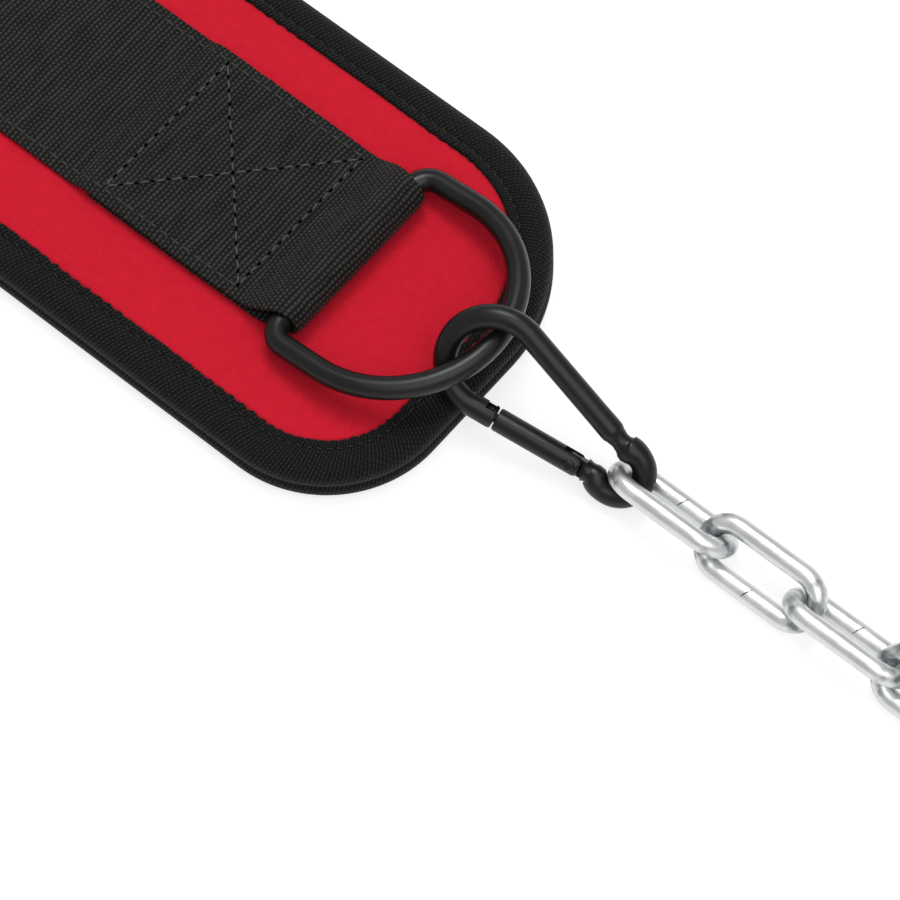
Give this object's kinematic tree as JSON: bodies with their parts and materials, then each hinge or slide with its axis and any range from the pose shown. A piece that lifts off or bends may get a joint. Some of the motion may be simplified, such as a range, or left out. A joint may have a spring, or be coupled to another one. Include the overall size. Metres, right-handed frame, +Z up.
{
  "type": "dip belt",
  "caption": "Padded neoprene weight belt, wider at the middle, with taped edge, centre webbing, D-rings, a snap hook and chain links.",
  "frame": {"origin": "middle of the belt's inner face, which lies on the surface", "axes": "+X along the belt to the hook and chain, +Z up out of the red outer face"},
  "size_m": [0.9336, 0.152, 0.0308],
  "materials": {
    "red_neoprene": "matt knit face",
    "black_neoprene": "matt",
    "black_tape": "ribbed",
    "black_webbing": "woven",
    "black_metal": "satin",
    "bright_zinc": "bright zinc"
  },
  "bodies": {
    "belt": {"outer_panel": "red_neoprene", "inner_panel": "black_neoprene", "edge_binding": "black_tape", "webbing_strap": "black_webbing", "d_ring_right": "black_metal", "hook_body": "black_metal", "gate_pin": "black_metal", "chain_link_1": "bright_zinc", "chain_link_2": "bright_zinc", "chain_link_3": "bright_zinc", "chain_link_4": "bright_zinc"},
    "free_ring": {"d_ring_left": "black_metal"},
    "gate": {"hook_gate": "black_metal"}
  },
  "joints": [
    {"name": "free_ring_swing", "type": "hinge", "parent": "belt", "child": "free_ring", "pos_m": [-0.3511, 0.0014, 0.015], "axis": [0, 1, 0], "range_deg": [0, 170]},
    {"name": "gate_opens", "type": "hinge", "parent": "belt", "child": "gate", "pos_m": [0.4211, -0.00399, 0.0071], "axis": [-0.2665, 0.6916, -0.6713], "range_deg": [0, 25], "stiffness_Nm_per_rad": 0.05, "springref_deg": -20.05}
  ]
}
